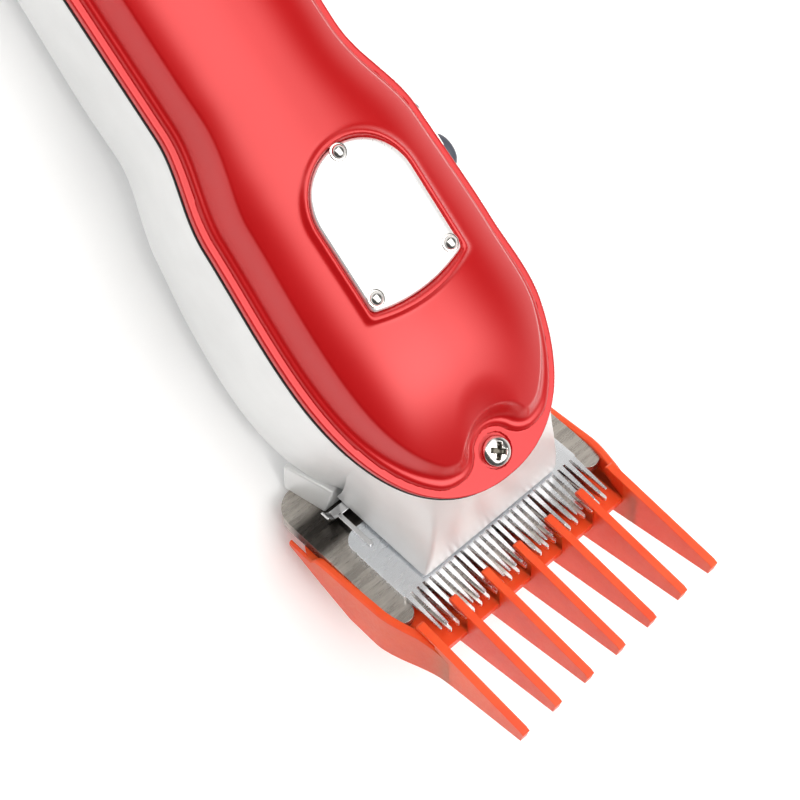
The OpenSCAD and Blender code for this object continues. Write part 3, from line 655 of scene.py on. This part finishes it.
# ---- front cover screw ----
def make_front_screw():
    """Domed head with a tapering cross recess, its floor painted in a darker steel as shade."""
    rings, spokes = 40, 96
    radius, seat = 2.6, SEAM_GAP + FRONT_SPOT[1]
    turn = radians(50)
    width, reach = 0.46, 1.55
    points = []
    recessed = []
    for i in range(rings):
        r = radius * (1 - i / (rings - 1)) + 0.001
        for k in range(spokes):
            a = 2 * pi * k / spokes
            height = 0.75 + 1.0 * np.sqrt(max(0, 1 - (r / radius) ** 2.4))
            u, v = r * cos(a), r * sin(a)
            p, q = abs(u * cos(turn) + v * sin(turn)), abs(-u * sin(turn) + v * cos(turn))
            arm, along = min(p, q), max(p, q)
            cut = False
            if along < reach:
                side = np.clip((width - arm) / 0.16, 0, 1)
                end = np.clip((reach - along) / 0.35, 0, 1)
                centre = np.clip((0.95 - along) / 0.4, 0, 1)
                height -= (0.75 + 0.4 * centre) * side * end
                cut = side * end > 0.3
            recessed.append(cut)
            points.append((u, SCREW_Y + v, seat + height))
    faces = grid_faces(rings, spokes, close_cols=True)
    base = len(points)
    points += [(p[0], p[1], seat) for p in points[:spokes]]
    recessed += [False] * spokes
    for k in range(spokes):
        faces.append((k, base + k, base + (k + 1) % spokes, (k + 1) % spokes))
    head = build("front_screw_head", points, faces, CHROME, "housing", 50,
                 ("cover_front_screw",), flip=True)
    # painted shade: faces inside the cross recess take the dark steel
    head.data.materials.append(RECESS_SHADE)
    for polygon in head.data.polygons:
        polygon.material_index = int(all(recessed[i] for i in polygon.vertices))


make_front_screw()


# ---- housing ----
def belly_side(w, y, count=32):
    """Left half of the U-shaped section: down the flank and round the bottom corner."""
    d = float(depth(y))
    w = max(float(w), 0.3)
    lean = 0.05 * (d - BELLY_R)
    r = min(BELLY_R, w * 0.8)
    flank = [(-w + lean * t, y, -(d - r) * t) for t in np.linspace(0, 1, count // 2, endpoint=False)]
    turn = np.linspace(0, pi / 2, count // 2 + 1)
    return flank + [(-(w - lean - r) - r * cos(a), y, -(d - r) - r * sin(a)) for a in turn]


def belly_ring(y):
    right = belly_side(right_w(y), y)
    return belly_side(half_w(y), y) + [(-p[0], p[1], p[2]) for p in reversed(right)]


def belly_rows():
    return np.concatenate([
        1.2 + (FRONT_LEN - 1.2) * np.linspace(0, 1, 90) ** 1.8,
        np.linspace(FRONT_LEN, TAIL_START, 140)[1:],
        BODY_LEN - 0.05 - (BODY_LEN - TAIL_START) * np.linspace(1, 0, 50)[1:] ** 1.8,
    ])


def make_belly():
    """Closed shell: outer skin, top lip and an inner skin set in by the wall."""
    wall = 2.2
    points = []
    rows = belly_rows()
    for y in rows:
        ring = belly_ring(y)
        left, right, d = ring[0][0], ring[-1][0], -min(p[2] for p in ring)
        k = max(0.05, (right - wall) / right)
        m = max(0.3, (d - wall) / d)
        y_in = min(max(y, rows[0] + wall + 0.01 * y), rows[-1] - wall)
        outer = [(left + 0.12, y, -0.04), (left, y, -0.16)] + ring[1:-1]
        outer += [(right, y, -0.16), (right - 0.12, y, -0.04)]
        inner = [(p[0] * k, y_in, p[2] * m) for p in reversed(ring[1:-1])]
        inner = [(right * k, y_in, -0.04)] + inner + [(left * k, y_in, -0.04)]
        points += outer + inner
    cols = len(points) // len(rows)
    faces = grid_faces(len(rows), cols, close_cols=True)
    half = cols // 2
    for base, order in ((0, 1), ((len(rows) - 1) * cols, -1)):
        for j in range(half - 1):
            quad = (base + j, base + cols - 1 - j, base + cols - 2 - j, base + j + 1)
            faces.append(quad[::-order])
    return points, faces


def nose_ring(t, inset=0.0):
    """Level t of the nose: the seam's outline at t = 0 and the rounded foot in the blade frame at t = 1."""
    count = 80
    y = 19.0 * np.linspace(1, 0, count) ** 2.0 + 0.04
    top = [(-max(float(half_w(v)) - inset, 0), v + inset * (1 - v / 19), 0.0) for v in y]
    top = top + [(-p[0], p[1], p[2]) for p in reversed(top)]
    corner = 0.7
    side, front = NOSE_HALF - inset, NOSE_FRONT + inset
    path = [(-side, NOSE_REAR), (-side, front + corner)]
    for a in np.linspace(0, pi / 2, 9)[1:]:
        path.append((-side + corner * (1 - cos(a)), front + corner * (1 - sin(a))))
    path.append((0, front))
    foot = resample(np.array(path), 0.02)
    # the side of the foot matches the side of the seam up to where the seam turns to the front
    half = count // 2
    pick = np.concatenate([np.linspace(0, 0.56, half), np.linspace(0.56, 1, count - half + 1)[1:]])
    foot = foot[(pick * (len(foot) - 1)).astype(int)]
    low = [(p[0], p[1], NOSE_LEVEL) for p in foot]
    low = low + [(-p[0], p[1], p[2]) for p in reversed(low)]
    low = from_blade(low)
    bulge = 1 - (1 - t) ** 1.25
    mix = np.array([bulge, bulge, t])
    return np.array(top) * (1 - mix) + low * mix


def make_nose():
    """Tube between the seam's front and the blades, with a small rounded lower edge."""
    levels = [(t, 0.0) for t in np.linspace(0, 0.985, 26)] + [(0.995, 0.06), (1.0, 0.18)]
    levels += [(1.0, 2.2), (0.5, 2.2), (0.0, 2.2)]
    rings = [nose_ring(t, inset) for t, inset in levels]
    n = len(rings[0])
    points = np.concatenate(rings + [rings[0]])
    return points, grid_faces(len(levels) + 1, n)


def body_box(x, y, z):
    """Corners of a box in the body frame, as two rings."""
    return [[(x[0], y[0], level), (x[1], y[0], level), (x[1], y[1], level), (x[0], y[1], level)]
            for level in z]


def blade_box(x, y, z):
    """Corners of a box in the blade frame, as two rings in the body frame."""
    return [from_blade(ring) for ring in body_box(x, y, z)]


def side_bore(radius, y, z, x0, x1, count=48):
    """Cylinder along x, as two rings."""
    rings = []
    for x in (x0, x1):
        rings.append([(x, y + radius * cos(2 * pi * k / count), z + radius * sin(2 * pi * k / count))
                      for k in range(count)])
    return rings


def end_bore(radius, x, z, y0, y1, count=48):
    """Cylinder along y, as two rings."""
    rings = []
    for y in (y1, y0):
        rings.append([(x + radius * cos(2 * pi * k / count), y, z + radius * sin(2 * pi * k / count))
                      for k in range(count)])
    return rings


def face_outwards(mesh):
    work = bmesh.new()
    work.from_mesh(mesh)
    bmesh.ops.recalc_face_normals(work, faces=work.faces)
    work.to_mesh(mesh)
    work.free()


def cutter_object(name, rings):
    shape = Shape().prism(*rings)
    mesh = bpy.data.meshes.new(name)
    mesh.from_pydata([tuple(p) for p in to_row(shape.points)], [], shape.faces)
    face_outwards(mesh)
    cutter = bpy.data.objects.new(name, mesh)
    scene.collection.objects.link(cutter)
    return cutter


def carve(piece, cutters):
    """Subtracts the cutters from the piece's mesh and removes them."""
    for cutter in cutters:
        cut = piece.modifiers.new("cut", "BOOLEAN")
        cut.operation = "DIFFERENCE"
        cut.solver = "EXACT"
        cut.object = cutter
    graph = bpy.context.evaluated_depsgraph_get()
    mesh = bpy.data.meshes.new_from_object(piece.evaluated_get(graph))
    piece.modifiers.clear()
    piece.data = mesh
    for cutter in cutters:
        bpy.data.objects.remove(cutter, do_unlink=True)
    mesh.shade_smooth()
    mesh.set_sharp_from_angle(angle=radians(30))


def make_housing():
    points, faces = make_belly()
    belly = build("housing_shell", points, faces, ALLOY, "housing", 40,
                  ("lower_housing",))
    face_outwards(belly.data)
    cuts = [
        blade_box((-40, 40), (-30, 45), (BLADE_TOP - 40, BLADE_TOP)),
        blade_box((-40, 40), (-30, NOSE_REAR), (NOSE_LEVEL - 40, NOSE_LEVEL)),
        side_bore(SPRING_BORE_R, SPRING[0], SPRING[1], 20.2, 30),
        body_box((14, 30), (SWITCH_Y - SLOT_HALF, SWITCH_Y + SLOT_HALF), (-9.1, -5.9)),
        end_bore(GLAND_BORE_R, 0, GLAND_Z, BODY_LEN - 8, BODY_LEN + 8),
    ]
    carve(belly, [cutter_object("cut_%d" % i, rings) for i, rings in enumerate(cuts)])
    points, faces = make_nose()
    build("housing_nose", points, faces, ALLOY, "housing", 50)
    # block that the heel of the fixed blade seats against
    front, rear = NOSE_REAR, HEEL_Y + 1
    low = [(-18.3, front), (18.3, front), (20, rear), (-20, rear)]
    top = [(-16.2, front), (16.2, front), (19.5, rear), (-19.5, rear)]
    block = Shape().prism(from_blade([(x, y, BLADE_TOP) for x, y in low]),
                          from_blade([(x, y, BLADE_TOP + 4 + 0.25 * (y - front)) for x, y in top]))
    seat = build("housing_seat", block.points, block.faces, ALLOY, "housing", 40)
    add_bevel(seat, 0.3, 3)


make_housing()


# ---- tension spring ----
def make_spring():
    """Flat cross strip with upturned ends and two thin arms onto the shoulders of the cutter."""
    shape = Shape()
    base, thick = CUTTER_TOP + 0.03, 0.4
    shape.prism(*blade_box((-17.6, 17.6), (22.6, 24.4), (base, base + thick)))
    for side in (-1, 1):
        strip = [(17.4, base), (18.6, base + 0.1), (19.5, base + 0.8), (20.1, base + 1.9),
                 (19.75, base + 2.05), (19.1, base + 1.05), (18.4, base + 0.5), (17.4, base + thick)]
        if side > 0:
            strip = [(-x, z) for x, z in strip]
        shape.prism(*[from_blade([(-x, y, z) for x, z in strip]) for y in (22.6, 24.4)])
        x0, x1 = sorted((side * 16.9, side * 17.8))
        shape.prism(*blade_box((x0, x1), (14.6, 23.0), (base, base + thick)))
    spring = build("tension_spring_fine", shape.points, shape.faces, WIRE_STEEL,
                   "follower", 35, ("tension_spring",))
    add_bevel(spring, 0.08, 2)


make_spring()


# ---- switch knob ----
def make_knob():
    """Rounded, ribbed knob on a rectangular stem through the housing's slot."""
    centre = (23.2, SWITCH_Y - 2, -6.2)
    levels, count = 14, 40
    shape = Shape()
    rings = []
    for h in np.linspace(0, 1, levels):
        k = (1 - min(h, 0.99) ** 5) ** 0.3
        grip = 0.07 * (0.5 + 0.5 * cos(h * 40)) if 0.3 < h < 0.9 else 0
        x = centre[0] + (2.15 - grip) * h
        rings.append([(x, centre[1] + 3.3 * k * cos(a), centre[2] + 3.2 * k * sin(a))
                      for a in np.linspace(0, 2 * pi, count, endpoint=False)])
    faces = grid_faces(levels, count, close_cols=True)
    faces += [tuple(range((levels - 1) * count, levels * count)), tuple(range(count - 1, -1, -1))]
    shape.add([p for ring in rings for p in ring], faces)
    stem = [(19, -9), (19, -6), (23.6, -6), (23.6, -9)]
    shape.prism(*[[(x, centre[1] + half, z) for x, z in stem] for half in (-1.7, 1.7)])
    build("switch_knob", shape.points, shape.faces, SWITCH, "switch", 40,
          ("switch_slider",))


make_knob()


# ---- refined copies of CAD nodes ----
def body_of(node_name):
    bodies = frame["record"]["behaviour"]["bodies"]
    return next(body for body, names in bodies.items() if node_name in names)


def refine(node_name, width, material, angle=32, segments=2):
    """Copy of a CAD node with merged flats, rounded edges and smooth shading, in place of the node."""
    work = bmesh.new()
    work.from_mesh(frame["nodes"][node_name].data)
    bmesh.ops.remove_doubles(work, verts=work.verts, dist=1e-6)
    bmesh.ops.dissolve_limit(work, angle_limit=radians(1), verts=work.verts, edges=work.edges)
    mesh = bpy.data.meshes.new(node_name + "_fine")
    work.to_mesh(mesh)
    work.free()
    mesh.materials.clear()
    mesh.materials.append(material)
    mesh.shade_smooth()
    mesh.set_sharp_from_angle(angle=radians(angle))
    piece = bpy.data.objects.new(node_name + "_fine", mesh)
    scene.collection.objects.link(piece)
    add_bevel(piece, width, segments, angle)
    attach(piece, body_of(node_name))
    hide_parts(node_name)
    return piece


# ---- guide comb ----
COMB_FLOOR = BLADE_TOP - FIXED_T - 0.15
COMB_FLOOR_T = 1.3
RIB_T = 1.5
# side view of a tooth, as (forward, up) in the blade frame
TOOTH = [
    (COMB_REACH, -22.2), (COMB_REACH + 0.2, -21.6), (COMB_REACH - 0.6, -21.1), (2.8, -17.7),
    (2.3, -18.1), (2.6, -18.75), (6.8, -18.9), (6.8, COMB_FLOOR), (-20, COMB_FLOOR),
    (-20.4, -26), (-12, -30.8), (-6, -31.2), (1, -29.7), (COMB_REACH - 0.4, -24.2),
]
# upper and lower edge of the side wall, as (forward, up)
WALL_TOP = [(-27, COMB_FLOOR), (-21.5, -23.2), (-20.2, -21.6), (-19, -21.2), (-10, -20.4), (-2, -19.6),
            (3.4, -19.1), (10, -20.2)]
WALL_LOW = [(-27, -24.3), (-24.5, -25.4), (-19.4, -27.8), (-12, -30.9), (-5, -31.1), (0.9, -29.9),
            (10, -27.8)]


def comb_wall(shape, side):
    """Side wall that bends inwards at its front and runs into the outer tooth."""
    outer_tooth = 3 * COMB_PITCH + RIB_T / 2
    stations = np.linspace(-27, 10, 61)
    top = np.interp(stations, *np.array(WALL_TOP).T)
    low = np.interp(stations, *np.array(WALL_LOW).T)
    face = COMB_W / 2 - (COMB_W / 2 - outer_tooth - 0.02) * ramp(-5, 9.5, stations)
    thick = 0.7 + 0.8 * ramp(-21.5, -19.5, stations)
    rings = []
    for forward, up, down, x, t in zip(stations, top, low, face, thick):
        section = [(x, down), (x, up - 0.35), (x - 0.35, up),
                   (x - t + 0.2, up), (x - t, up - 0.2), (x - t, down)]
        rings.append(from_blade([(side * across, -forward, level) for across, level in section]))
    faces = grid_faces(len(rings), 6, close_cols=True)
    faces += [tuple(range(5, -1, -1)), tuple(range(6 * len(rings) - 6, 6 * len(rings)))]
    shape.add(np.concatenate(rings), faces if side < 0 else [f[::-1] for f in faces])


def comb_floor_plate(shape):
    half, corner = COMB_W / 2 - 0.3, 6
    tooth = 3 * COMB_PITCH
    outline = [(-half + 0.4, 2), (-tooth, -6.8), (tooth, -6.8), (half - 0.4, 2), (half, 21)]
    turn = np.linspace(0, pi / 2, 9)
    outline += [(half - corner + corner * cos(a), 21 + corner * sin(a)) for a in turn[1:]]
    outline += [(-half + corner - corner * sin(a), 21 + corner * cos(a)) for a in turn]
    tongue = [(-6, 20), (6, 20), (6, 31), (-6, 31)]
    for ring in (outline, tongue):
        shape.prism(*[from_blade([(x, y, level) for x, y in ring])
                      for level in (COMB_FLOOR - COMB_FLOOR_T, COMB_FLOOR)])


def make_comb():
    shape = Shape()
    for i in range(-3, 4):
        centre = i * COMB_PITCH
        rings = [from_blade([(centre + side * RIB_T / 2, -forward, up) for forward, up in TOOTH])
                 for side in (1, -1)]
        shape.prism(*rings)
    for side in (-1, 1):
        comb_wall(shape, side)
    comb_floor_plate(shape)
    comb = build("guide_comb_body", shape.points, shape.faces, COMB, "comb", 40,
                 ("guide_comb",))
    add_bevel(comb, 0.22, 3, 40)


make_comb()
refine("fixed_blade", 0.05, BLADE)
refine("cutter_blade", 0.04, CUTTER)
refine("taper_lever", 0.25, CHROME)
refine("lever_screw", 0.12, CHROME)
refine("power_screw", 0.15, CHROME)
refine("blade_screws", 0.15, CHROME)
refine("switch_bezel", 0.2, CHROME)
refine("cord_gland", 0.25, RUBBER)
refine("hanging_loop", 0.08, CHROME)
refine("cover_rear_screw", 0.12, CHROME)

# ---- stage ----
SOFTBOX = 2.9
AMBIENT = 0.07
HORIZON = 0.9
WARM_WHITE = (1.0, 0.975, 0.945, 1)
# camera in the row frame, in metres: place, right and backward directions, and lens in millimetres
CAMERA_AT = (-0.1312, 0.0787, 0.3241)
CAMERA_RIGHT = (0.731, -0.466, 0.499)
CAMERA_BACK = (-0.370, 0.343, 0.863)
LENS = 94.5


def make_floor():
    mesh = bpy.data.meshes.new("floor")
    size = 3.0
    corners = [(-size, -size, 0), (size, -size, 0), (size, size, 0), (-size, size, 0)]
    mesh.from_pydata(corners, [], [(0, 1, 2, 3)])
    mesh.materials.append(floor_paint())
    floor = bpy.data.objects.new("floor", mesh)
    scene.collection.objects.link(floor)


def make_camera():
    """Long lens above the left of the tail, looking down the clipper at the comb."""
    right = Vector(CAMERA_RIGHT).normalized()
    back = Vector(CAMERA_BACK).normalized()
    up = back.cross(right).normalized()
    right = up.cross(back)
    camera = bpy.data.objects.new("camera", bpy.data.cameras.new("camera"))
    camera.data.sensor_width = 36
    camera.data.lens = LENS
    camera.data.clip_start = 0.01
    rotation = Matrix((right, up, back)).transposed().to_4x4()
    camera.matrix_world = Matrix.Translation(CAMERA_AT) @ rotation
    scene.collection.objects.link(camera)
    scene.camera = camera


def make_world():
    """Long softbox overhead, a bright horizon to the right and behind, and a low glow all round."""
    world = bpy.data.worlds.new("studio")
    scene.world = world
    world.use_nodes = True
    nodes, links = world.node_tree.nodes, world.node_tree.links
    background = nodes["Background"]
    coords = nodes.new("ShaderNodeTexCoord")
    split = nodes.new("ShaderNodeSeparateXYZ")
    links.new(coords.outputs["Generated"], split.inputs["Vector"])
    x, y, z = (split.outputs[k] for k in ("X", "Y", "Z"))
    slant = combine(nodes, links, "ADD", x, combine(nodes, links, "MULTIPLY", y, 0.35))
    box = smooth_step(nodes, links, slant, -0.43, -0.20, SOFTBOX)
    for value, low, high in ((x, 0.70, 0.30), (y, -0.74, -0.48), (y, 0.80, 0.50), (z, 0.02, 0.25)):
        box = combine(nodes, links, "MULTIPLY", box, smooth_step(nodes, links, value, low, high))
    front = smooth_step(nodes, links, y, -0.05, -0.45, 0.45)
    box = combine(nodes, links, "MULTIPLY", box, combine(nodes, links, "ADD", front, 1.0))
    side = combine(nodes, links, "MAXIMUM", smooth_step(nodes, links, x, 0.0, 0.6),
                   smooth_step(nodes, links, y, 0.3, 0.8))
    low_sky = combine(nodes, links, "MULTIPLY", side, smooth_step(nodes, links, z, 0.55, 0.2, HORIZON))
    glow = smooth_step(nodes, links, z, 0.30, -0.05, 0.8)
    low_sky = combine(nodes, links, "MAXIMUM", low_sky, glow)
    total = combine(nodes, links, "ADD", box, combine(nodes, links, "ADD", low_sky, AMBIENT))
    links.new(total, background.inputs["Strength"])
    background.inputs["Color"].default_value = WARM_WHITE


make_floor()
make_camera()
make_world()
scene.view_settings.view_transform = "Standard"
scene.view_settings.look = "None"
